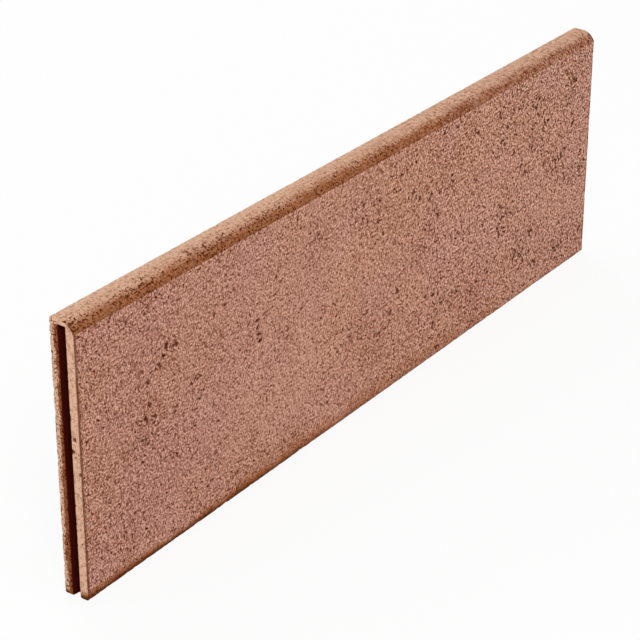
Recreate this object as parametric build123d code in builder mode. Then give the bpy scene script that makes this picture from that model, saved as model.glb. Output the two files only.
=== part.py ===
from build123d import *
import math
import os

# Overall sizes of the stone, in millimetres
kerb_length = 1000.0
kerb_height = 300.0
kerb_thickness = 30.0

# Rounding between the front face and the top: its radius, and how far down the face it ends
crown_radius = 20.0
crown_drop = 12.0

# Rounded arrises: the back edge of the top, the two long foot edges, and round both ends
back_arris_radius = 2.0
foot_arris_radius = 2.5
end_arris_radius = 1.8

# Groove in the left end, open at the foot
groove_mouth_width = 9.0
groove_floor_width = 7.4
groove_depth = 9.0
groove_mouth_flare = 0.8
groove_head_radius = 2.2
concrete_over_groove = 5.5

# Play between the groove and the tongue of the next stone
joint_side_play = 0.75
joint_end_play = 2.5
joint_head_play = 1.5
tongue_edge_radius = 1.0

left_end_x = -kerb_length / 2
right_end_x = kerb_length / 2
front_y = -kerb_thickness / 2
back_y = kerb_thickness / 2

crown_depth = math.sqrt(crown_radius**2 - (crown_radius - crown_drop) ** 2)
groove_height = kerb_height - concrete_over_groove
groove_floor_x = left_end_x + groove_depth

# The tongue follows the groove, less the play on each side, at its tip and over its head
tongue_reach = groove_depth - joint_end_play
tongue_height = groove_height - joint_head_play
groove_side_slope = (groove_mouth_width - groove_floor_width) / 2 / groove_depth
tongue_root_half = groove_mouth_width / 2 - joint_side_play
tongue_tip_half = tongue_root_half - groove_side_slope * tongue_reach
tongue_root_x = right_end_x - end_arris_radius
tongue_tip_x = right_end_x + tongue_reach

# Former that leaves the groove: a tapered bar with a flared mouth and a rounded head
with BuildPart() as groove_former:
    with BuildSketch(Plane.XY):
        with BuildLine():
            Polyline(
                (left_end_x - groove_mouth_flare, groove_mouth_width / 2 + 2 * groove_mouth_flare),
                (left_end_x + groove_mouth_flare, groove_mouth_width / 2),
                (groove_floor_x, groove_floor_width / 2),
                (groove_floor_x, -groove_floor_width / 2),
                (left_end_x + groove_mouth_flare, -groove_mouth_width / 2),
                (left_end_x - groove_mouth_flare, -groove_mouth_width / 2 - 2 * groove_mouth_flare),
                close=True,
            )
        make_face()
    extrude(amount=groove_height)
    head_edges = groove_former.faces().sort_by(Axis.Z)[-1].edges()
    fillet(head_edges.filter_by(Axis.Y, reverse=True), radius=groove_head_radius)

# Tongue for the right end, tapered like the groove, with its tip and head rounded
with BuildPart() as tongue_form:
    with BuildSketch(Plane.XY):
        with BuildLine():
            Polyline(
                (tongue_root_x, tongue_root_half),
                (right_end_x, tongue_root_half),
                (tongue_tip_x, tongue_tip_half),
                (tongue_tip_x, -tongue_tip_half),
                (right_end_x, -tongue_root_half),
                (tongue_root_x, -tongue_root_half),
                close=True,
            )
        make_face()
    extrude(amount=tongue_height)
    tip_face = tongue_form.faces().sort_by(Axis.X)[-1]
    fillet(tip_face.edges().filter_by(Axis.Z), radius=tongue_edge_radius)

# The stone: one casting, with the section run along its length
with BuildPart() as kerb_stone:
    with BuildSketch(Plane.YZ.offset(left_end_x)) as section:
        with BuildLine():
            Polyline(
                (front_y + crown_depth, kerb_height),
                (back_y, kerb_height),
                (back_y, 0),
                (front_y, 0),
                (front_y, kerb_height - crown_drop),
            )
            TangentArc(
                (front_y + crown_depth, kerb_height),
                (front_y, kerb_height - crown_drop),
                tangent=(-1, 0),
            )
        make_face()
        foot_corners = section.vertices().group_by(Axis.Y)[0]
        back_corner = section.vertices().group_by(Axis.Y)[-1].sort_by(Axis.X)[-1]
        fillet(foot_corners, radius=foot_arris_radius)
        fillet(back_corner, radius=back_arris_radius)
    extrude(amount=kerb_length)
    end_faces = kerb_stone.faces().filter_by(Axis.X)
    fillet(end_faces.edges(), radius=end_arris_radius)
    add(groove_former.part, mode=Mode.SUBTRACT)
    add(tongue_form.part)

kerb_stone.part.label = "kerb_stone"

os.makedirs("parts", exist_ok=True)
export_step(kerb_stone.part, "parts/kerb_stone.step")
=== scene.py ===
"""Dresses the kerb stone: its cast skin with pores and worn arrises, its finish, studio and camera."""

import logging
import math
from dataclasses import dataclass, field
from enum import Enum

import bmesh
import bpy
import numpy as np
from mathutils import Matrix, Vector, kdtree, noise


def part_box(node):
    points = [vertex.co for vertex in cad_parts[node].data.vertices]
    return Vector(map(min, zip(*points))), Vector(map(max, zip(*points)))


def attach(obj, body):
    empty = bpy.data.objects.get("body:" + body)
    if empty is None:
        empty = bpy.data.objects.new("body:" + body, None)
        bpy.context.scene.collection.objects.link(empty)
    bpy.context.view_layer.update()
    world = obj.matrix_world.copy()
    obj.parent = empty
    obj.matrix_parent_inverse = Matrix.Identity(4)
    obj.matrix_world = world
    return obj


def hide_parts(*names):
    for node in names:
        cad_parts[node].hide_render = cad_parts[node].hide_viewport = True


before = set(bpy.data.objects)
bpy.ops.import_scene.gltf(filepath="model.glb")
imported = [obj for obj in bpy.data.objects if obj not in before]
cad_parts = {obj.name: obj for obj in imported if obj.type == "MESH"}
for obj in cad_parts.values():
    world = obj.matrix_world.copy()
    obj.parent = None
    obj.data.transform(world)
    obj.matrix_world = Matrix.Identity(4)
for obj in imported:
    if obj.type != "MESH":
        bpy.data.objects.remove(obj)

log = logging.getLogger("kerb")

MM = 0.001
QUARTER_TURN = math.pi / 2
BODY = "root"
STONE_NODE = "kerb_stone"

Span = tuple[float, float]
Place = tuple[float, float, float]
Tint = tuple[float, float, float, float]
Socket = bpy.types.NodeSocket

WHITE: Tint = (1.0, 1.0, 1.0, 1.0)


class Zone(Enum):
    """Parts of the stone's skin that the mould and the wear treat differently."""

    FACE = "the two long faces"
    CROWN = "the rounded top front edge"
    TOP = "the flat of the top"
    END = "the two end faces"
    JOINT = "the groove and the tongue"


def linear_tint(*levels: int) -> Tint:
    """Turns a colour as seen on a screen into the shader's own values.

    Args:
        levels: Red, green and blue, from 0 to 255.

    Returns:
        Linear red, green, blue and a full alpha.
    """
    shares = [level / 255 for level in levels]
    red, green, blue = (s / 12.92 if s <= 0.04045 else ((s + 0.055) / 1.055) ** 2.4 for s in shares)
    return (red, green, blue, 1.0)


def ripple(points: np.ndarray, size: float, seed: float, octaves: int = 1) -> np.ndarray:
    """Gives a smooth random height at each point.

    Args:
        points: Positions, one row each, in metres.
        size: The width of one hump, in metres.
        seed: Shifts the pattern, so that two ripples differ.
        octaves: How many finer patterns are added, each half as wide and half as high.

    Returns:
        One value a point, from about -1 to 1.
    """
    total = np.zeros(len(points))
    height = 1.0
    for octave in range(octaves):
        spots = (points * (2**octave / size) + seed * (octave + 1)).tolist()
        total += height * np.fromiter((noise.noise(spot) for spot in spots), float, len(spots))
        height /= 2
    return total


def eased(values: np.ndarray, low: float, high: float) -> np.ndarray:
    """Rises smoothly from 0 at low to 1 at high.

    Args:
        values: What is compared.
        low: Where the rise starts.
        high: Where it ends.

    Returns:
        One share a value, from 0 to 1.
    """
    share = np.clip((values - low) / (high - low), 0.0, 1.0)
    return share * share * (3 - 2 * share)


def round_inset(depth: np.ndarray, radius: float) -> np.ndarray:
    """How far a rounded arris stands back, at a depth from the face that it rounds into.

    Args:
        depth: Distance from the neighbouring face, from 0.
        radius: The arris radius.

    Returns:
        The distance back from the sharp edge's face, 0 beyond the radius.
    """
    inside = np.clip(radius - depth, 0.0, radius)
    return radius - np.sqrt(radius**2 - inside**2)


def zipped(
    first: list[int], second: list[int], first_at: np.ndarray, second_at: np.ndarray
) -> list[list[int]]:
    """Joins two rows of points by a band of triangles.

    Args:
        first: Point numbers of one row.
        second: Point numbers of the other row.
        first_at: How far along each point of the first row lies, rising.
        second_at: The same for the second row.

    Returns:
        The triangles, as point numbers.
    """
    band = []
    i, j = 0, 0
    while i < len(first) - 1 or j < len(second) - 1:
        first_ends = i == len(first) - 1
        second_ends = j == len(second) - 1
        if second_ends or (not first_ends and first_at[i + 1] <= second_at[j + 1]):
            band.append([first[i], first[i + 1], second[j]])
            i += 1
        else:
            band.append([first[i], second[j + 1], second[j]])
            j += 1
    return band


def new_object(name: str, data: bpy.types.ID) -> bpy.types.Object:
    """Makes an object of its data and links it to the scene.

    Args:
        name: The name of the new object.
        data: Its mesh, lamp or camera.

    Returns:
        The new object.
    """
    made = bpy.data.objects.new(name, data)
    bpy.context.scene.collection.objects.link(made)
    return made


@dataclass(frozen=True)
class HollowSizes:
    """The least and the most that one kind of hollow reaches and sinks, in millimetres."""

    reach: Span
    depth: Span

    def at(self, size: float) -> Span:
        """The reach and the depth, in metres, of a hollow that is least at 0 and most at 1."""
        least, most, shallow, deep = (edge * MM for edge in self.reach + self.depth)
        return least + size * (most - least), shallow + size * (deep - shallow)


@dataclass(frozen=True)
class PoreField:
    """Random pores of one kind: their zone, how many to the square metre and their sizes."""

    zone: Zone
    per_square_metre: float
    sizes: HollowSizes
    patchy: float
    seed: float


@dataclass(frozen=True)
class WornEdge:
    """A run of small chips along one arris, from its start to its end."""

    start: Place
    end: Place
    per_metre: float
    sizes: HollowSizes


@dataclass(frozen=True)
class Tear:
    """A short row of larger pores torn in the front face, in millimetres along it and up it."""

    first: Span
    last: Span
    pores: int
    reach: float = 3.0
    depth: float = 1.3

    def places(self) -> list[Span]:
        """Where its pores are, in metres along the face from the middle and up."""
        rows = np.linspace(self.first, self.last, self.pores) * MM
        return [(along, up) for along, up in rows.tolist()]


@dataclass(frozen=True)
class EndPit:
    """One pit in the grooved end, in millimetres: its place across and up, its reach and depth."""

    across: float
    up: float
    reach: float
    depth: float


@dataclass(frozen=True)
class Smudge:
    """A soft dark place on the front face, in millimetres: its middle and how far it spreads."""

    along: float
    up: float
    spread: float


TEARS = (
    Tear((-365, 223), (-377, 204), 3, 3.4, 1.1),
    Tear((-398, 196), (-396, 169), 2, 3.2, 1.0),
    Tear((-390, 155), (-416, 160), 3, 3.2, 1.0),
    Tear((-403, 134), (-410, 113), 2, 3.2, 1.0),
    Tear((-356, 218), (-322, 168), 2),
    Tear((-218, 189), (-214, 164), 4),
    Tear((80, 227), (94, 216), 3),
    Tear((120, 213), (129, 42), 2),
    Tear((352, 193), (368, 184), 3),
    Tear((335, 166), (385, 162), 2),
    Tear((477, 218), (453, 194), 2),
    Tear((325, 256), (433, 263), 2),
)
END_PITS = (
    EndPit(-8.5, 177, 2.9, 1.6),
    EndPit(-6.5, 164, 3.4, 1.1),
    EndPit(-8.5, 158, 2.4, 0.8),
    EndPit(-13.5, 141, 2.8, 1.2),
)
SMUDGES = (
    Smudge(-24, 98, 42),
    Smudge(-1, 63, 38),
    Smudge(-156, 16, 44),
    Smudge(207, 49, 48),
    Smudge(-244, 22, 40),
    Smudge(-395, 165, 34),
)
PORE_FIELDS = (
    PoreField(Zone.FACE, 5000, HollowSizes((1.4, 2.2), (0.3, 0.8)), 0.85, 12.6),
    PoreField(Zone.FACE, 180, HollowSizes((2.0, 3.2), (0.6, 1.1)), 0.8, 18.0),
    PoreField(Zone.CROWN, 6000, HollowSizes((1.3, 2.0), (0.3, 0.8)), 0.4, 11.7),
    PoreField(Zone.TOP, 2500, HollowSizes((1.3, 2.0), (0.2, 0.6)), 0.6, 11.7),
    PoreField(Zone.END, 6000, HollowSizes((1.2, 2.0), (0.2, 0.8)), 0.6, 10.8),
)
CHIPPED = HollowSizes((1.5, 3.2), (0.15, 0.7))
RAGGED = HollowSizes((1.5, 3.0), (0.2, 0.8))
CRUMBLED = HollowSizes((1.5, 3.2), (0.2, 1.1))
FRONT_LIP = HollowSizes((1.2, 2.4), (0.2, 0.8))
BACK_LIP = HollowSizes((1.4, 3.4), (0.3, 1.2))


@dataclass
class SkinMesh:
    """Gathers the points and faces of one closed skin."""

    points: list[np.ndarray] = field(default_factory=list)
    faces: list[list[int]] = field(default_factory=list)
    count: int = 0

    def add_points(self, rows: np.ndarray) -> np.ndarray:
        """Adds a block of points.

        Args:
            rows: Positions, in any block shape, with the three axes last.

        Returns:
            The number of each point, in the block's shape.
        """
        flat = rows.reshape(-1, 3)
        numbers = np.arange(self.count, self.count + len(flat)).reshape(rows.shape[:-1])
        self.points.append(flat)
        self.count += len(flat)
        return numbers

    def add_grid(self, numbers: np.ndarray) -> None:
        """Fills a block of points with four-sided faces.

        Args:
            numbers: The point numbers, row by row.
        """
        corners = [numbers[:-1, :-1], numbers[:-1, 1:], numbers[1:, 1:], numbers[1:, :-1]]
        quads = np.stack(corners, -1)
        self.faces.extend(quads.reshape(-1, 4).tolist())

    def add_patch(self, edge: list[np.ndarray], inner: np.ndarray, axes: tuple[int, int]) -> None:
        """Fills the hole inside a four-sided edge with a grid and a band of triangles round it.

        Args:
            edge: Point numbers of the four sides: first across, up the far side, last across
                and up the near side, each rising along its own axis and sharing its corners.
            inner: Positions of the grid, rows up the second axis and columns along the first.
            axes: The axis along the rows and the axis up the columns.
        """
        numbers = self.add_points(inner)
        self.add_grid(numbers)
        places = np.concatenate(self.points)
        sides = [numbers[0], numbers[:, -1], numbers[-1], numbers[:, 0]]
        for outer, side, axis in zip(edge, sides, (axes[0], axes[1], axes[0], axes[1])):
            band = zipped(list(outer), list(side), places[outer, axis], places[side, axis])
            self.faces.extend(band)

    def build(self, name: str) -> bpy.types.Object:
        """Makes the closed mesh, with every face turned outwards.

        Args:
            name: The name of the new piece.

        Returns:
            The new piece, linked to the scene.
        """
        mesh = bpy.data.meshes.new(name)
        mesh.from_pydata(np.concatenate(self.points).tolist(), [], self.faces)
        work = bmesh.new()
        work.from_mesh(mesh)
        loose = [vertex for vertex in work.verts if not vertex.link_faces]
        bmesh.ops.delete(work, geom=loose, context="VERTS")
        bmesh.ops.recalc_face_normals(work, faces=work.faces)
        open_edges = sum(1 for edge in work.edges if not edge.is_manifold)
        work.to_mesh(mesh)
        work.free()
        if open_edges:
            log.warning("%s has %d open edges", name, open_edges)
        return new_object(name, mesh)


@dataclass
class KerbStone:
    """The stone as it was cast: its outline at any height and the closed skin over it."""

    low: Vector
    high: Vector
    tongue_reach: float = 6.5 * MM
    crown_radius: float = 20 * MM
    crown_drop: float = 12 * MM
    back_arris: float = 2 * MM
    foot_arris: float = 2.5 * MM
    end_arris: float = 1.8 * MM
    least_corner: float = 0.3 * MM
    groove_half: float = 4.5 * MM
    groove_floor_half: float = 3.7 * MM
    groove_depth: float = 9 * MM
    groove_flare: float = 0.8 * MM
    groove_head_gap: float = 5.5 * MM
    groove_head_radius: float = 2.2 * MM
    tongue_half: float = 3.75 * MM
    tongue_tip_half: float = 3.17 * MM
    tongue_head_gap: float = 7 * MM
    tongue_root_flare: float = 0.4 * MM
    tongue_root_rise: float = 0.3 * MM
    step_along: float = 2.5 * MM
    step_up: float = 2.0 * MM
    step_back: float = 5.5 * MM
    step_across_top: float = 1.3 * MM
    step_across_foot: float = 3 * MM
    head_ledge: float = 0.03 * MM
    ring_under_crease: float = 0.4 * MM
    least_ring_gap: float = 0.25 * MM
    corner_columns: int = 5
    face_columns: int = 8
    flat_rim: float = 3 * MM
    wall_columns: int = 5
    floor_columns: int = 6
    seed: int = 11

    def __post_init__(self) -> None:
        """Works out the end planes, the faces and the heads of the joint from the box."""
        self.left = self.low.x
        self.right = self.high.x - self.tongue_reach
        self.front = self.low.y
        self.back = self.high.y
        self.height = self.high.z
        self.crown_depth = math.sqrt(self.crown_radius**2 - (self.crown_radius - self.crown_drop) ** 2)
        self.crease = self.height - self.crown_drop
        self.groove_head = self.height - self.groove_head_gap
        self.tongue_head = self.height - self.tongue_head_gap
        self.luck = np.random.default_rng(self.seed)

    def front_at(self, level: np.ndarray) -> np.ndarray:
        """Finds the front face or the crown at each level.

        Args:
            level: Heights above the foot.

        Returns:
            Its place across the thickness, one a level.
        """
        foot = round_inset(level, self.foot_arris)
        rise = np.clip(level - (self.height - self.crown_radius), 0.0, self.crown_radius)
        crown = self.crown_depth - np.sqrt(self.crown_radius**2 - rise**2)
        return self.front + np.where(level > self.crease, np.maximum(crown, 0.0), foot)

    def back_at(self, level: np.ndarray) -> np.ndarray:
        """Finds the back face, with its two rounded arrises, at each level.

        Args:
            level: Heights above the foot.

        Returns:
            Its place across the thickness, one a level.
        """
        foot = round_inset(level, self.foot_arris)
        top = round_inset(self.height - level, self.back_arris)
        return self.back - foot - top

    def end_inset(self, level: np.ndarray) -> np.ndarray:
        """How far the two end faces stand back at each level, at the foot and the top."""
        return round_inset(level, self.end_arris) + round_inset(self.height - level, self.end_arris)

    def corner_at(self, level: np.ndarray) -> np.ndarray:
        """The radius of the four upright corners at each level, which the top and the foot use up."""
        return np.maximum(self.end_arris - self.end_inset(level), self.least_corner)

    def levels(self) -> np.ndarray:
        """The heights of the rings that the skin is built of.

        Returns:
            Rising heights, finer in the arrises, the crown and the heads of the joint.
        """
        foot = self.foot_arris * (1 - np.cos(np.linspace(0.0, QUARTER_TURN, 6)))
        body = np.arange(self.foot_arris, self.crease, self.step_up)[1:-1]
        sweep = math.acos(1 - self.crown_drop / self.crown_radius)
        crown = self.height - self.crown_radius * (1 - np.cos(np.linspace(sweep, 0.0, 12)))
        turns = np.linspace(0.0, QUARTER_TURN, 4)
        groove = self.groove_head - self.groove_head_radius * (1 - np.sin(turns))
        ledge = self.head_ledge
        ledges = np.array([self.groove_head, self.tongue_head - ledge, self.tongue_head]) + ledge
        kept = np.concatenate([groove, ledges, [self.crease - self.ring_under_crease]])
        free = np.concatenate([foot, body, crown])
        clear = np.array([np.abs(kept - level).min() > self.least_ring_gap for level in free])
        return np.sort(np.concatenate([free[clear], kept]))

    def end_columns(self, level: np.ndarray, is_left: bool) -> tuple[np.ndarray, np.ndarray]:
        """The outline of one end at each level, from the front corner to the back corner.

        Args:
            level: The heights of the rings.
            is_left: True for the grooved end and False for the tongued end.

        Returns:
            How far each point stands out past the end plane and its place across the thickness,
            one row a ring.
        """
        inset = self.end_inset(level)
        corner = self.corner_at(level)
        front, back = self.front_at(level), self.back_at(level)
        low, high = front + corner, back - corner
        if is_left:
            head, reach, flare = self.groove_head, -self.groove_depth, -self.groove_flare - inset
            root, tip = self.groove_half, self.groove_floor_half
            mouth = root + self.groove_flare
        else:
            head, reach, flare = self.tongue_head, self.tongue_reach, self.tongue_root_rise - inset
            root, tip = self.tongue_half, self.tongue_tip_half
            mouth = root + self.tongue_root_flare
        at_head = np.array([head])
        head_low = self.front_at(at_head)[0] + self.end_arris
        head_high = self.back_at(at_head)[0] - self.end_arris
        below = level <= head
        deep = np.where(below, 1.0, 0.0)
        if is_left:
            past = np.clip(level - (head - self.groove_head_radius), 0.0, self.groove_head_radius)
            rounding = self.groove_head_radius - np.sqrt(self.groove_head_radius**2 - past**2)
            deep = deep * (1 - rounding / self.groove_depth)
        wall = reach * deep
        outs, places = [], []

        def across(place: float) -> np.ndarray:
            """Keeps a place below the head, and squeezes it into the narrowing top above."""
            share = (place - head_low) / (head_high - head_low)
            return np.where(below, place, low + share * (high - low))

        def put(out: np.ndarray, place: np.ndarray) -> None:
            """Adds one column of points to the outline."""
            outs.append(out)
            places.append(place)

        def put_wall(shares: np.ndarray, side: int) -> None:
            """Adds one wall of the groove or the tongue.

            Args:
                shares: How far each column lies from the mouth, at 0, to the tip, at 1.
                side: -1 for the wall towards the front and 1 for the one towards the back.
            """
            for share in shares:
                out = np.where(below, flare + share * (wall - flare), -inset)
                put(out, across(side * (root - share * (root - tip))))

        for turn in np.linspace(0.0, QUARTER_TURN, self.corner_columns):
            put(-inset - corner * (1 - math.sin(turn)), front + corner * (1 - math.cos(turn)))
        for share in np.linspace(0.0, 1.0, self.face_columns)[1:]:
            put(-inset, low + share * (across(-mouth) - low))
        put_wall(np.linspace(0.0, 1.0, self.wall_columns), -1)
        for share in np.linspace(0.0, 1.0, self.floor_columns)[1:-1]:
            put(np.where(below, wall, -inset), across(-tip + share * 2 * tip))
        put_wall(np.linspace(1.0, 0.0, self.wall_columns), 1)
        for share in np.linspace(0.0, 1.0, self.face_columns)[:-1]:
            put(-inset, across(mouth) + share * (high - across(mouth)))
        for turn in np.linspace(QUARTER_TURN, 0.0, self.corner_columns):
            put(-inset - corner * (1 - math.sin(turn)), back - corner * (1 - math.cos(turn)))
        return np.stack(outs, 1), np.stack(places, 1)

    def rings(self) -> tuple[np.ndarray, list[np.ndarray]]:
        """Every ring round the stone, level by level.

        Returns:
            The points as level by column by axis, and the columns of the left end, the front,
            the right end and the back.
        """
        level = self.levels()
        inset = self.end_inset(level)
        corner = self.corner_at(level)
        count = int((self.right - self.left) / self.step_along)
        share = np.linspace(0.0, 1.0, count)[1:-1]
        start = (self.left + inset + corner)[:, None]
        end = (self.right - inset - corner)[:, None]
        along = start + share[None, :] * (end - start)
        left_out, left_place = self.end_columns(level, True)
        right_out, right_place = self.end_columns(level, False)
        left_x, left_y = (self.left - left_out)[:, ::-1], left_place[:, ::-1]
        front_y = np.broadcast_to(self.front_at(level)[:, None], along.shape)
        back_y = np.broadcast_to(self.back_at(level)[:, None], along.shape)
        x = np.concatenate([left_x, along, self.right + right_out, along[:, ::-1]], 1)
        y = np.concatenate([left_y, front_y, right_place, back_y], 1)
        z = np.broadcast_to(level[:, None], x.shape)
        ends, middle = left_x.shape[1], along.shape[1]
        cuts = [ends, ends + middle, 2 * ends + middle]
        return np.stack([x, y, z], 2), np.split(np.arange(x.shape[1]), cuts)

    def skin(self, name: str) -> bpy.types.Object:
        """Builds the closed skin of the stone.

        Args:
            name: The name of the new piece.

        Returns:
            The plain skin, before any wear.
        """
        skin = SkinMesh()
        rings, (left, front, right, back) = self.rings()
        numbers = skin.add_points(rings)
        back = np.concatenate([right[-1:], back, left[:1]])
        front = np.concatenate([left[-1:], front, right[:1]])
        level = rings[:, 0, 2]
        foot = int(np.searchsorted(level, self.foot_arris))
        top = int(np.searchsorted(level, self.height - self.back_arris))
        skin.add_grid(numbers[:, : right[-1] + 1])
        skin.add_grid(numbers[: foot + 1][:, back])
        skin.add_grid(numbers[top:][:, back])

        # The flat of the top, then the foot, whose grid keeps clear of the groove that opens there
        past_corner = self.corner_columns
        for row, start, step_x, step_y in (
            (-1, self.flat_rim, self.step_along, self.step_across_top),
            (0, self.groove_depth + self.flat_rim, self.step_back, self.step_across_foot),
        ):
            edge = [numbers[row, side] for side in (front, right, back[::-1], left[::-1])]
            low_y, high_y = rings[row, front[past_corner], 1], rings[row, back[past_corner], 1]
            x = np.arange(self.left + start, self.right - self.flat_rim, step_x)
            y = np.linspace(low_y + step_y, high_y - step_y, int((high_y - low_y) / step_y))
            flat = np.stack(np.broadcast_arrays(x[None, :], y[:, None], rings[row, 0, 2]), 2)
            skin.add_patch(edge, flat, (0, 1))

        # The back panel, between its rounded foot and top
        edge = [
            numbers[foot, back[::-1]],
            numbers[foot : top + 1, right[-1]],
            numbers[top, back[::-1]],
            numbers[foot : top + 1, left[0]],
        ]
        x = np.arange(self.left + 6 * MM, self.right - 5 * MM, self.step_back)
        z = np.arange(level[foot] + 4 * MM, level[top] - 3 * MM, self.step_back)
        panel = np.stack(np.broadcast_arrays(x[None, :], self.back, z[:, None]), 2)
        skin.add_patch(edge, panel, (0, 2))
        return skin.build(name)


@dataclass
class Weathering:
    """Hollows the skin out by grain, pores and chips, and notes each of them for the finish.

    A note holds a share from 0 to 1 at each point of the skin, and the finish reads it by name.
    """

    stone: KerbStone
    piece: bpy.types.Object
    wave_width: float = 85 * MM
    wave_depth: float = 0.25 * MM
    grit_width: float = 4.2 * MM
    grit_depth: float = 0.16 * MM
    smooth_grit_depth: float = 0.05 * MM
    dense_width: float = 60 * MM
    pit_width: float = 5.2 * MM
    pit_depth: float = 0.7 * MM
    patch_width: float = 70 * MM
    scatter: float = 1.2 * MM
    wander_width: float = 30 * MM
    full_pore: float = 1.15 * MM
    band_on_top: float = 9 * MM
    arris_band: Span = (1.5 * MM, 3.6 * MM)
    foot_line: Span = (3 * MM, 7 * MM)
    low_stain: Span = (3 * MM, 13 * MM)
    high_stain: Span = (6 * MM, 32 * MM)
    lip_at_foot: float = 10.5 * MM
    lip_narrowing: float = 4.5 * MM
    fleck_width: float = 45 * MM
    cluster_width: float = 40 * MM
    round_tear: Span = (2 * MM, 12 * MM)
    notes: dict[str, np.ndarray] = field(default_factory=dict)

    def __post_init__(self) -> None:
        """Reads the plain skin: its points, their normals, the area round each and its zones."""
        mesh = self.piece.data
        mesh.set_sharp_from_angle(angle=math.radians(24))
        count = len(mesh.vertices)
        self.points, self.normals = np.empty(count * 3), np.empty(count * 3)
        mesh.vertices.foreach_get("co", self.points)
        mesh.vertices.foreach_get("normal", self.normals)
        self.points, self.normals = self.points.reshape(-1, 3), self.normals.reshape(-1, 3)
        self.area = np.zeros(count)
        for polygon in mesh.polygons:
            self.area[list(polygon.vertices)] += polygon.area / len(polygon.vertices)
        self.grain = np.zeros(count)
        self.hollow = np.zeros(count)
        self.tree = kdtree.KDTree(count)
        for number, point in enumerate(self.points.tolist()):
            self.tree.insert(point, number)
        self.tree.balance()
        self.zones = {zone: self.share(zone) for zone in Zone}

        # How far up the crown each point lies, and how far its worn band lasts along the stone
        x, _, z = self.points.T
        self.wander = ripple(self.points, self.wander_width, 5.3, 2)
        self.rise = (z - self.stone.crease) / self.stone.crown_drop
        self.fading = 1 - 0.45 * eased(x + 60 * MM * self.wander, -0.30, 0.45)

    def share(self, zone: Zone) -> np.ndarray:
        """Works out how far each point belongs to a zone.

        Args:
            zone: The zone.

        Returns:
            One share a point, from 0 to 1.
        """
        x, y, z = self.points.T
        stone = self.stone
        facing = np.abs(self.normals)
        inside_mouth = np.abs(y) < stone.groove_half + stone.groove_flare
        in_groove = inside_mouth & (x < stone.left + stone.groove_depth + 0.5 * MM)
        in_groove &= (x > stone.left + 0.4 * MM) & (z <= stone.groove_head)
        on_tongue = inside_mouth & (x > stone.right + 0.1 * MM)
        joint = (in_groove | on_tongue).astype(float)
        if zone is Zone.JOINT:
            return joint
        crown = (y < stone.front + stone.crown_depth) & (z > stone.crease - 0.1 * MM)
        crown &= facing[:, 0] < 0.6
        if zone is Zone.CROWN:
            return crown.astype(float)
        if zone is Zone.END:
            return eased(facing[:, 0], 0.55, 0.8) * (1 - joint)
        turned = self.normals[:, 2] if zone is Zone.TOP else facing[:, 1]
        return eased(turned, 0.6, 0.9) * (1 - joint) * ~crown

    def wear(self) -> None:
        """Works the grain, the pores, the tears and the chips into the skin, and notes them."""
        stone = self.stone
        self.press_grain()
        for kind in PORE_FIELDS:
            log.info("%d pores in %s", self.strew_pores(kind), kind.zone.value)
        for tear in TEARS:
            for along, up in tear.places():
                self.hollow_out(np.array([along, stone.front, up]), tear.reach * MM, tear.depth * MM)
        for pit in END_PITS:
            place = np.array([stone.left, pit.across * MM, pit.up * MM])
            self.hollow_out(place, pit.reach * MM, pit.depth * MM)
        for edge in self.worn_edges():
            self.chip(edge)
        self.note_crown()
        self.note_foot()
        self.note_ends()
        self.note_tones()
        self.note_pores()
        self.finish()

    def press_grain(self) -> None:
        """Lays the slow waves of the mould, the sandy grit and the fields of fine pits on the skin."""
        smooth = np.maximum.reduce([self.zones[zone] for zone in (Zone.END, Zone.TOP, Zone.JOINT)])
        waves = 0.5 + 0.5 * np.clip(ripple(self.points, self.wave_width, 3.1, 2), -1, 1)
        grit = 0.5 + 0.5 * np.clip(1.6 * ripple(self.points, self.grit_width, 7.7, 2), -1, 1)
        grit += 0.35 * self.stone.luck.random(len(grit))
        height = self.grit_depth + smooth * (self.smooth_grit_depth - self.grit_depth)
        self.grain = (1 - 0.7 * smooth) * self.wave_depth * waves + height * grit
        dense = eased(ripple(self.points, self.dense_width, 9.4, 2), -0.5, 0.6)
        dense = np.maximum(dense, 0.8 * self.zones[Zone.CROWN]) * (1 - smooth)
        pits = -ripple(self.points, self.pit_width, 2.2, 2)
        torn = eased(pits, 0.42 - 0.3 * dense, 0.95 - 0.3 * dense)
        self.hollow = self.pit_depth * torn * (1 - smooth)

    def hollow_out(self, centre: np.ndarray, reach: float, depth: float) -> None:
        """Sinks one rounded hollow into the skin.

        Args:
            centre: Its middle, on or near the skin.
            reach: Its radius.
            depth: How deep it is in the middle.
        """
        for _, number, apart in self.tree.find_range(centre, reach):
            sunk = depth * (1 - (apart / reach) ** 2)
            self.hollow[number] = max(self.hollow[number], sunk)

    def strew_pores(self, kind: PoreField) -> int:
        """Strews the pores of one kind over its zone, more of them in some patches.

        Args:
            kind: The kind of pores.

        Returns:
            How many were made.
        """
        luck = self.stone.luck
        patches = eased(ripple(self.points, self.patch_width, kind.seed, 2), -0.35, 0.45)
        chance = self.area * self.zones[kind.zone]
        amount = int(chance.sum() * kind.per_square_metre)
        chance = chance * (1 - kind.patchy + kind.patchy * 1.6 * patches**2)
        picked = luck.choice(len(chance), size=amount, p=chance / chance.sum())
        scatter = luck.uniform(-self.scatter, self.scatter, (amount, 3))
        normals = self.normals[picked]
        scatter -= normals * (scatter * normals).sum(1, keepdims=True)
        for centre, size in zip(self.points[picked] + scatter, luck.random(amount) ** 2):
            self.hollow_out(centre, *kind.sizes.at(size))
        return amount

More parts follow.
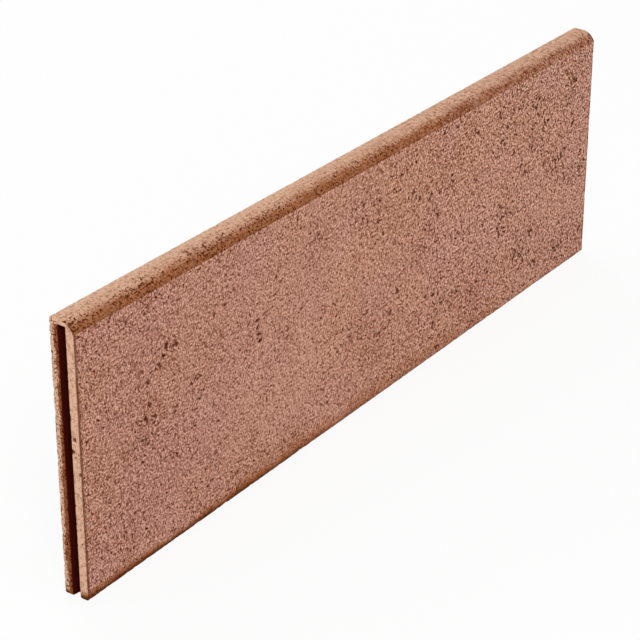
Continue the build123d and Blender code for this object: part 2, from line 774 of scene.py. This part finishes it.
    def worn_edges(self) -> list[WornEdge]:
        """Lists the arrises that lost chips.

        Returns:
            Each arris with the number and the sizes of its chips.
        """
        stone = self.stone
        left, right, front, back = stone.left, stone.right, stone.front, stone.back
        top, crease, lip, head = stone.height, stone.crease, stone.groove_half, stone.groove_head
        return [
            WornEdge((left, back, top), (right, back, top), 120, CHIPPED),
            WornEdge((left, front, crease), (right, front, crease), 160, RAGGED),
            WornEdge((left, front, 0), (right, front, 0), 160, CHIPPED),
            WornEdge((left, back, 0), (right, back, 0), 80, CHIPPED),
            WornEdge((left, front, 0), (left, front, crease), 150, CHIPPED),
            WornEdge((left, back, 0), (left, back, top), 220, CRUMBLED),
            WornEdge((right, front, 0), (right, front, crease), 150, CHIPPED),
            WornEdge((right, back, 0), (right, back, top), 150, CHIPPED),
            WornEdge((left, -lip, 0), (left, -lip, head), 150, FRONT_LIP),
            WornEdge((left, lip, 0), (left, lip, head), 260, BACK_LIP),
            WornEdge((left, front + stone.crown_depth, top), (left, back, top), 400, RAGGED),
        ]

    def chip(self, edge: WornEdge) -> None:
        """Knocks the chips of one arris off.

        Args:
            edge: The arris.
        """
        luck = self.stone.luck
        start, end = np.array(edge.start), np.array(edge.end)
        amount = int(np.linalg.norm(end - start) * edge.per_metre)
        for share, size in zip(luck.random(amount), luck.random(amount) ** 3):
            self.hollow_out(start + share * (end - start), *edge.sizes.at(size))

    def note_crown(self) -> None:
        """Notes the brown band and the crease under the crown, and where the skin is smooth."""
        _, y, _ = self.points.T
        stone, wander = self.stone, self.wander
        crown, top = self.zones[Zone.CROWN], self.zones[Zone.TOP]
        past_crown = 1 + (y - stone.front - stone.crown_depth) / self.band_on_top
        round_share = np.where(crown > 0, self.rise, past_crown) + 0.14 * wander
        band = np.maximum(crown, top * (y < stone.back - stone.back_arris)) * self.fading
        self.notes["band"] = band * (1 - eased(round_share, 0.4, 1.2))
        self.notes["crease"] = crown * self.fading * (1 - eased(self.rise + 0.25 * wander, 0.15, 0.8))
        upper_crown = crown * eased(self.rise + 0.14 * wander, 0.5, 0.9)
        self.notes["smooth"] = np.maximum.reduce([self.zones[Zone.END], top, upper_crown])

    def note_foot(self) -> None:
        """Notes the stain above the foot and the painted shade along its edge, most at the near end.
        """
        x, _, z = self.points.T
        wander = self.wander
        nearer = 1 - 0.75 * eased(x, -0.4, 0.25)
        middle = 1 - eased(np.abs(x - 20 * MM), 0.15, 0.4)
        low_stain = 1 - eased((z + 4 * MM * wander) / (1 + 0.5 * middle), *self.low_stain)
        high_stain = 1 - eased(z + 10 * MM * wander, *self.high_stain)
        self.notes["foot_stain"] = np.maximum(nearer * low_stain, 0.45 * middle * high_stain)
        # painted shade along the foot, where the stone meets the floor
        self.notes["foot_shade"] = nearer * (1 - eased(z + 1.5 * MM * wander, *self.foot_line))

    def note_ends(self) -> None:
        """Notes the upright arrises, the rough back lip of the groove and the groove itself, whose
        inside the finish paints near-black as shade.
        """
        x, y, z = self.points.T
        stone, wander, joint = self.stone, self.wander, self.zones[Zone.JOINT]
        from_end = np.minimum(x - stone.left, stone.right - x) + 0.6 * MM * wander
        turned = eased(np.abs(self.normals[:, 1]), 0.3, 0.6) * (1 - joint)
        self.notes["arris"] = turned * (1 - eased(from_end, *self.arris_band))
        lip_width = self.lip_at_foot - self.lip_narrowing * z / stone.height
        lip = 1 - eased((y - stone.groove_half + 2 * MM * wander) / lip_width, 0.15, 1.0)
        at_lip = (y > 0) & (x < stone.left + 1.0 * MM) & (z < stone.groove_head)
        self.notes["lip"] = lip * at_lip
        # the groove's inside, which the finish darkens as painted shade in the recess
        self.notes["groove"] = joint * (x < 0)
        # the crust mask: the real band, crease and stain, the dark arrises and the painted shade along
        # the foot
        crusts = [self.notes[name] for name in ("band", "crease", "foot_stain", "foot_shade", "arris")]
        self.notes["crust_and_foot_shade"] = np.maximum.reduce(crusts)

    def note_tones(self) -> None:
        """Notes where the grain is coarser, where the faces get painted light and painted shade, and
        the dark smudges.
        """
        x, y, z = self.points.T
        wander, face = self.wander, self.zones[Zone.FACE]
        self.notes["coarser"] = eased(x, -0.35, 0.35)
        # painted light: the faces are made paler towards their middle and far end
        painted_light = eased(x + 80 * MM * wander, -0.44, -0.08)
        self.notes["painted_light"] = face * painted_light * (1 - 0.5 * eased(z + 30 * MM * wander, 0.13, 0.26))
        # painted shade: the upper part of the faces near the grooved end is made darker
        painted_shade_and_smudges = 0.38 * (1 - eased(x + 60 * MM * wander, -0.45, -0.18)) * eased(z, 0.06, 0.22)
        for smudge in SMUDGES:
            apart = np.hypot(x - smudge.along * MM, z - smudge.up * MM) / (smudge.spread * MM)
            painted_shade_and_smudges = np.maximum(painted_shade_and_smudges, (1 - eased(apart + 0.35 * wander, 0.2, 1.0)) * (y < 0))
        self.notes["painted_shade_and_smudges"] = painted_shade_and_smudges * face

    def note_pores(self) -> None:
        """Notes how porous and how pitted each place is, and how deep its own pore is, by which the
        finish paints shade into pores and pits.
        """
        x, y, z = self.points.T
        stone, wander, notes = self.stone, self.wander, self.notes
        face = self.zones[Zone.FACE]
        flecks = eased(ripple(self.points, self.fleck_width, 6.1, 2), -0.2, 0.7)
        porous = 0.15 + 0.4 * flecks * face + (0.15 + 0.35 * (y > 0)) * self.zones[Zone.END]
        past_crown = (y - stone.front - stone.crown_depth) / self.band_on_top
        on_top = 0.5 * self.zones[Zone.TOP] * (1 - eased(past_crown + 0.2 * wander, 0.0, 0.7))
        on_crown = self.zones[Zone.CROWN] * (0.7 + 0.3 * flecks)
        on_crown *= 1 - 0.4 * eased(self.rise, 0.75, 1.0)
        on_crown = np.maximum(on_crown, on_top) * (0.3 + 0.7 * self.fading)
        at_foot = 0.8 * np.maximum(notes["foot_shade"], 0.7 * notes["foot_stain"])
        notes["porous"] = np.maximum.reduce([porous, on_crown, notes["lip"], at_foot])
        clusters = eased(ripple(self.points, self.cluster_width, 8.8, 2), -0.25, 0.6)
        clusters *= 0.3 + 0.3 * eased(x, -0.35, 0.25)
        for tear in TEARS:
            for along, up in tear.places():
                apart = np.hypot(x - along, z - up) + 5 * MM * wander
                near_tear = 0.75 * (1 - eased(apart, *self.round_tear)) * (y < 0)
                clusters = np.maximum(clusters, near_tear)
        notes["pitted"] = face * clusters
        # the depth of each hollow, which the finish darkens as painted shade inside it
        notes["pore_shade"] = np.clip(self.hollow / self.full_pore, 0, 1)

    def finish(self) -> None:
        """Sinks every point by its grain and hollows, and stores the notes on the piece."""
        mesh = self.piece.data
        sunk = (self.grain + self.hollow)[:, None]
        places = np.clip(self.points - self.normals * sunk, self.stone.low, self.stone.high)
        mesh.vertices.foreach_set("co", places.ravel())
        mesh.polygons.foreach_set("use_smooth", np.ones(len(mesh.polygons), bool))
        for name, values in self.notes.items():
            note = mesh.attributes.new(name, "FLOAT", "POINT")
            note.data.foreach_set("value", values.astype(np.float32))
        mesh.update()


@dataclass
class NodeBench:
    """Lays out the nodes of one material or of the world."""

    tree: bpy.types.NodeTree

    def add(self, kind: str, **settings: object) -> bpy.types.Node:
        """Adds a node and sets its own options.

        Args:
            kind: Blender's name of the node.
            settings: Its options, by name.

        Returns:
            The node.
        """
        node = self.tree.nodes.new(kind)
        for name, value in settings.items():
            setattr(node, name, value)
        return node

    def feed(self, node: bpy.types.Node, values: dict[str | int, object]) -> None:
        """Gives each named socket its value, or joins another node's socket to it.

        Args:
            node: The node.
            values: The value or the other node's socket, by the name or number of the input.
        """
        for name, value in values.items():
            if isinstance(value, Socket):
                self.tree.links.new(value, node.inputs[name])
            else:
                node.inputs[name].default_value = value

    def note(self, name: str, strength: float = 1.0) -> Socket:
        """Reads one of the notes stored on the piece, at full strength or weaker."""
        read = self.add("ShaderNodeAttribute", attribute_name=name).outputs["Fac"]
        return read if strength == 1.0 else self.times(read, strength)

    def pattern(self, size: float, detail: float, rough: float, shift: float = 0.0) -> Socket:
        """A cloudy pattern over the stone's own coordinates.

        Args:
            size: The width of its largest features, in metres.
            detail: How many finer patterns it holds.
            rough: How strong the finer ones are.
            shift: Moves the pattern, so that two of them differ.

        Returns:
            A value from 0 to 1.
        """
        place = self.add("ShaderNodeTexCoord").outputs["Object"]
        moved = self.add("ShaderNodeVectorMath", operation="ADD")
        self.feed(moved, {0: place, 1: (shift, shift * 0.7, -shift)})
        cloud = self.add("ShaderNodeTexNoise")
        self.feed(cloud, {"Vector": moved.outputs[0], "Scale": 1 / size})
        self.feed(cloud, {"Detail": detail, "Roughness": rough})
        return cloud.outputs["Fac"]

    def between(
        self, value: object, low: object, high: object, to_low: float = 0.0, to_high: float = 1.0
    ) -> Socket:
        """Turns a value into a smooth rise, or a fall where low is above high.

        Args:
            value: The value or socket.
            low: Where the rise starts.
            high: Where it ends.
            to_low: What it gives below.
            to_high: What it gives above.

        Returns:
            The risen value.
        """
        rise = self.add("ShaderNodeMapRange", interpolation_type="SMOOTHSTEP")
        sockets = ("Value", "From Min", "From Max", "To Min", "To Max")
        self.feed(rise, dict(zip(sockets, (value, low, high, to_low, to_high))))
        return rise.outputs["Result"]

    def worked(self, operation: str, first: object, second: object) -> Socket:
        """Works out one sum of two values.

        Args:
            operation: Blender's name of the sum, such as ADD or MAXIMUM.
            first: The first value.
            second: The second value.

        Returns:
            The result.
        """
        node = self.add("ShaderNodeMath", operation=operation)
        self.feed(node, {0: first, 1: second})
        return node.outputs[0]

    def times(self, value: object, *factors: object) -> Socket:
        """Multiplies a value by each factor in turn.

        Args:
            value: The value.
            factors: The factors.

        Returns:
            The product.
        """
        for factor in factors:
            value = self.worked("MULTIPLY", value, factor)
        return value

    def plus(self, value: object, amount: object) -> Socket:
        """Adds an amount to a value."""
        return self.worked("ADD", value, amount)

    def blend(self, share: object, first: object, second: object) -> Socket:
        """Goes over from one value to another.

        Args:
            share: How far it goes over, from 0 to 1.
            first: The value at 0.
            second: The value at 1.

        Returns:
            The blended value.
        """
        node = self.add("ShaderNodeMix", data_type="FLOAT")
        self.feed(node, {0: share, 2: first, 3: second})
        return node.outputs[0]

    def coat(self, colour: object, *coats: tuple[object, Tint]) -> Socket:
        """Lays coats of colour over a first colour.

        Args:
            colour: The colour below.
            coats: How much of each coat shows, and its tint, from the lowest coat up.

        Returns:
            The coated colour.
        """
        for share, tint in coats:
            node = self.add("ShaderNodeMix", data_type="RGBA")
            self.feed(node, {0: share, 6: colour, 7: tint})
            colour = node.outputs[2]
        return colour


@dataclass(frozen=True)
class PressedConcrete:
    """The through-coloured pressed concrete: its tints, its grain and its roughness."""

    mauve: Tint = linear_tint(162, 111, 98)
    ochre: Tint = linear_tint(173, 122, 92)
    deep: Tint = linear_tint(140, 84, 62)
    # paler tint that paints light onto the faces
    painted_light: Tint = linear_tint(206, 154, 134)
    rust: Tint = linear_tint(154, 84, 44)
    # painted shade in the fine pits of the grit
    speck_shade: Tint = linear_tint(78, 14, 0)
    sand: Tint = linear_tint(230, 184, 162)
    smooth_skin: Tint = linear_tint(210, 169, 141)
    band: Tint = linear_tint(164, 108, 70)
    crease: Tint = linear_tint(132, 82, 50)
    lip: Tint = linear_tint(126, 72, 42)
    # near-black, used for the painted shade along the foot and for the dark upright arrises
    foot_line: Tint = linear_tint(54, 20, 4)
    foot_stain: Tint = linear_tint(152, 92, 42)
    # painted shade inside the groove
    groove_shade: Tint = linear_tint(64, 14, 8)
    # painted shade in pores, pits and hollows
    pore_shade: Tint = linear_tint(74, 30, 12)
    patch_width: float = 90 * MM
    blotch_width: float = 26 * MM
    grit_widths: Span = (3.8 * MM, 4.5 * MM)
    sand_widths: Span = (2.5 * MM, 3.0 * MM)
    spot_width: float = 2.3 * MM
    pit_width: float = 5.2 * MM
    lip_tear_width: float = 4.2 * MM
    roughness: float = 0.92
    specular: float = 0.02
    bump_strength: float = 0.7
    bump_depth: float = 0.5 * MM

    def dress(self, piece: bpy.types.Object) -> None:
        """Makes the material and gives it to the piece.

        Args:
            piece: The stone's skin, with its notes.
        """
        material = bpy.data.materials.new("pressed_red_concrete")
        material.use_nodes = True
        bench = NodeBench(material.node_tree)
        shader = material.node_tree.nodes["Principled BSDF"]
        grit = self.coarsening(bench, self.grit_widths, 3.0, 0.8, (0.0, 2.2))
        sand = self.coarsening(bench, self.sand_widths, 2.0, 0.75, (3.0, 9.0))
        colour = self.aged(bench, self.ground(bench))
        colour = self.speckled(bench, colour, grit, sand)
        colour = self.pricked(bench, colour)
        bench.feed(shader, {"Base Color": colour, "Roughness": self.roughness})
        bench.feed(shader, {"Specular IOR Level": self.specular})
        bump = bench.add("ShaderNodeBump")
        bench.feed(bump, {"Strength": self.bump_strength, "Distance": self.bump_depth})
        bench.feed(bump, {"Height": bench.plus(grit, bench.times(sand, 0.4))})
        bench.feed(shader, {"Normal": bump.outputs[0]})
        piece.data.materials.clear()
        piece.data.materials.append(material)

    def coarsening(
        self, bench: NodeBench, widths: Span, detail: float, rough: float, shifts: Span
    ) -> Socket:
        """A pattern that goes over from a fine one at the grooved end to a coarser one.

        Args:
            bench: The material's nodes.
            widths: How wide its features are at the two ends.
            detail: How many finer patterns it holds.
            rough: How strong the finer ones are.
            shifts: How far the two patterns are moved.

        Returns:
            A value from 0 to 1.
        """
        kinds = zip(widths, shifts)
        fine, coarse = (bench.pattern(width, detail, rough, shift) for width, shift in kinds)
        return bench.blend(bench.note("coarser"), fine, coarse)

    def ground(self, bench: NodeBench) -> Socket:
        """Lays the slow changes of colour: ochre and deep patches, painted light and painted shade on
        the faces, the dark smudges and smooth places.

        Args:
            bench: The material's nodes.

        Returns:
            The ground colour.
        """
        patches = bench.between(bench.pattern(self.patch_width, 2.0, 0.5), 0.38, 0.62)
        blotches = bench.between(bench.pattern(self.blotch_width, 4.0, 0.65, 1.7), 0.48, 0.66)
        warmer = bench.between(bench.note("coarser"), 0.0, 0.6, 0.4, 1.0)
        return bench.coat(
            self.mauve,
            (bench.times(patches, warmer), self.ochre),
            (bench.times(blotches, 0.5), self.deep),
            # painted light on the faces
            (bench.note("painted_light", 0.42), self.painted_light),
            # painted shade near the grooved end's top, with the dark smudges
            (bench.note("painted_shade_and_smudges", 0.6), self.deep),
            (bench.note("pitted", 0.2), self.ochre),
            (bench.note("smooth"), self.smooth_skin),
        )

    def aged(self, bench: NodeBench, colour: object) -> Socket:
        """Lays the brown band and crease, the stained foot, the painted shade along the foot's edge
        and the dark arrises over it.

        Args:
            bench: The material's nodes.
            colour: The colour below.

        Returns:
            The aged colour.
        """
        return bench.coat(
            colour,
            (bench.note("band", 0.78), self.band),
            (bench.note("crease", 0.68), self.crease),
            (bench.note("foot_stain", 0.92), self.foot_stain),
            # painted shade along the foot's edge
            (bench.note("foot_shade", 0.97), self.foot_line),
            (bench.note("arris", 0.72), self.foot_line),
        )

    def speckled(self, bench: NodeBench, colour: object, grit: object, sand: object) -> Socket:
        """Puts in the dark specks, painted shade in the fine pits of the grit, the rust round them and
        the pale sand, fewer on smooth skin.

        Args:
            bench: The material's nodes.
            colour: The colour below.
            grit: The pattern of the specks.
            sand: The pattern of the pale grains.

        Returns:
            The speckled colour.
        """
        rough = bench.between(bench.note("smooth"), 0.0, 1.0, 1.0, 0.4)
        coarser, crust_and_foot_shade = bench.note("coarser"), bench.note("crust_and_foot_shade")
        edge = bench.between(coarser, 0.0, 1.0, 0.415, 0.445)
        # dark specks where the grit's bump sinks: painted shade in its fine pits
        dark = bench.between(grit, bench.plus(edge, 0.07), edge)
        dark = bench.times(dark, rough, bench.between(crust_and_foot_shade, 0.0, 1.0, 0.95, 0.6))
        halo = bench.between(grit, bench.plus(edge, 0.13), bench.plus(edge, 0.03))
        halo = bench.times(halo, rough, bench.between(coarser, 0.0, 0.7, 0.35, 0.5))
        less_on_crust = bench.between(crust_and_foot_shade, 0.0, 0.9, 1.0, 0.1)
        more_at_far_end = bench.between(coarser, 0.0, 1.0, 0.7, 0.9)
        pale = bench.times(bench.between(sand, 0.50, 0.56), rough, less_on_crust, more_at_far_end)
        return bench.coat(colour, (halo, self.rust), (dark, self.speck_shade), (pale, self.sand))

    def pricked(self, bench: NodeBench, colour: object) -> Socket:
        """Tears the lip, darkens the pores and pits with painted shade, and paints shade into the
        groove.

        Args:
            bench: The material's nodes.
            colour: The colour below.

        Returns:
            The finished colour.
        """
        tears = bench.times(bench.plus(bench.pattern(self.lip_tear_width, 2.0, 0.7, 4.4), -0.5), 1.7)
        lip = bench.between(bench.plus(bench.note("lip"), tears), 0.42, 0.72)
        # small dark spots of painted shade stand in for the shade inside pores
        spots = bench.pattern(self.spot_width, 1.0, 0.6, 5.5)
        mouth = bench.between(bench.note("porous"), 0.0, 1.0, 0.26, 0.49)
        halo = bench.between(spots, bench.plus(mouth, 0.06), bench.plus(mouth, -0.02))
        pores = bench.between(spots, mouth, bench.plus(mouth, -0.06))
        strength = bench.between(bench.note("coarser"), 0.0, 0.7, 0.95, 0.8)
        pit_mouth = bench.between(bench.note("pitted"), 0.0, 0.85, 0.25, 0.47)
        pit_pattern = bench.pattern(self.pit_width, 1.0, 0.6, 8.1)
        pits = bench.between(pit_pattern, pit_mouth, bench.plus(pit_mouth, -0.04))
        return bench.coat(
            colour,
            (bench.times(lip, 0.95), self.lip),
            (bench.times(halo, 0.5), self.rust),
            # painted shade: pores, pits and hollows darkened as if shaded inside
            (bench.times(pores, strength), self.pore_shade),
            (bench.times(pits, 0.9), self.pore_shade),
            (bench.between(bench.note("pore_shade"), 0.15, 0.85, 0.0, 0.88), self.pore_shade),
            # painted shade: the groove's inside darkened to near-black
            (bench.note("groove"), self.groove_shade),
        )


@dataclass(frozen=True)
class SoftLamp:
    """One large soft lamp: its power in watts, the side of its square face and its place."""

    name: str
    power: float
    size: float
    place: Place

    def hang(self) -> None:
        """Hangs the lamp, turned to the stone."""
        lamp = bpy.data.lights.new(self.name, "AREA")
        lamp.energy = self.power
        lamp.size = self.size
        holder = new_object(self.name, lamp)
        holder.location = self.place
        holder.rotation_euler = Vector(self.place).to_track_quat("Z", "Y").to_euler()


@dataclass
class Studio:
    """The pale floor, the two lamps and the white surroundings."""

    floor_half: float = 6.0
    floor_gap: float = 0.1 * MM
    floor_tint: float = 0.88
    floor_glow: float = 0.86
    sky_level: float = 0.62
    key: SoftLamp = SoftLamp("key", 320.0, 3.2, (-4.4, -3.4, 5.4))
    fill: SoftLamp = SoftLamp("fill", 90.0, 3.0, (3.2, 4.6, 2.2))

    def build(self) -> None:
        """Builds the floor, the world and the lamps."""
        self.lay_floor()
        self.light_world()
        self.key.hang()
        self.fill.hang()

    def lay_floor(self) -> None:
        """Lays the floor under the stone."""
        half = self.floor_half
        corners = [(-half, -half), (half, -half), (half, half), (-half, half)]
        mesh = bpy.data.meshes.new("floor")
        mesh.from_pydata([(x, y, -self.floor_gap) for x, y in corners], [], [(0, 1, 2, 3)])
        floor = new_object("floor", mesh)
        material = bpy.data.materials.new("pale_floor")
        material.use_nodes = True
        bench = NodeBench(material.node_tree)
        shader = material.node_tree.nodes["Principled BSDF"]
        bench.feed(shader, {"Base Color": (self.floor_tint,) * 3 + (1.0,)})
        bench.feed(shader, {"Roughness": 1.0, "Specular IOR Level": 0.0})
        glow = bench.add("ShaderNodeEmission")
        bench.feed(glow, {"Color": WHITE})
        mixed = bench.add("ShaderNodeMixShader")
        share = bench.times(self.seen_ray(bench), self.floor_glow)
        bench.feed(mixed, {0: share, 1: shader.outputs[0], 2: glow.outputs[0]})
        bench.feed(material.node_tree.nodes["Material Output"], {"Surface": mixed.outputs[0]})
        mesh.materials.append(material)

    def seen_ray(self, bench: NodeBench) -> Socket:
        """Tells a ray that is seen, directly or in a gloss or a glass, from one that lights.

        Args:
            bench: The nodes of a material or of the world.

        Returns:
            1 for a ray that is seen and 0 for any other.
        """
        path = bench.add("ShaderNodeLightPath")
        seen = bench.worked("MAXIMUM", path.outputs["Is Camera Ray"], path.outputs["Is Glossy Ray"])
        return bench.worked("MAXIMUM", seen, path.outputs["Is Transmission Ray"])

    def light_world(self) -> None:
        """Makes the surroundings white to the eye and softly lit to the stone."""
        world = bpy.data.worlds.new("studio")
        bpy.context.scene.world = world
        world.use_nodes = True
        bench = NodeBench(world.node_tree)
        ground = world.node_tree.nodes["Background"]
        level = bench.between(self.seen_ray(bench), 0.0, 1.0, self.sky_level, 1.0)
        bench.feed(ground, {"Color": WHITE, "Strength": level})


@dataclass(frozen=True)
class PhotoCamera:
    """The camera at the photograph's viewing angle."""

    azimuth: float = -55.44
    elevation: float = 26.23
    lens: float = 121.5
    film_width: float = 36.0
    place: Place = (-1.8176, -1.1945, 1.1686)

    def stand(self) -> None:
        """Places the camera and makes it the scene's own."""
        camera = new_object("photo_camera", bpy.data.cameras.new("photo_camera"))
        camera.data.lens = self.lens
        camera.data.sensor_width = self.film_width
        azimuth, elevation = math.radians(self.azimuth), math.radians(self.elevation)
        level = math.cos(elevation)
        back = Vector((math.sin(azimuth) * level, -math.cos(azimuth) * level, math.sin(elevation)))
        camera.location = self.place
        camera.rotation_euler = back.to_track_quat("Z", "Y").to_euler()
        bpy.context.scene.camera = camera


def main() -> None:
    """Builds the stone, its studio and its camera, and reports each."""
    logging.basicConfig(level=logging.INFO, format="%(name)s: %(message)s")
    bpy.context.scene.view_settings.view_transform = "Standard"
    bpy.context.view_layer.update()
    low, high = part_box(STONE_NODE)
    stone = KerbStone(Vector(low), Vector(high))
    piece = stone.skin("kerb_stone_cast")
    Weathering(stone, piece).wear()
    PressedConcrete().dress(piece)
    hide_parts(STONE_NODE)
    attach(piece, BODY)
    log.info("%s: %d faces", piece.name, len(piece.data.polygons))
    Studio().build()
    log.info("studio: floor, surroundings and two lamps")
    PhotoCamera().stand()
    log.info("photo_camera: at the photograph's viewing angle")


if __name__ == "__main__":
    main()
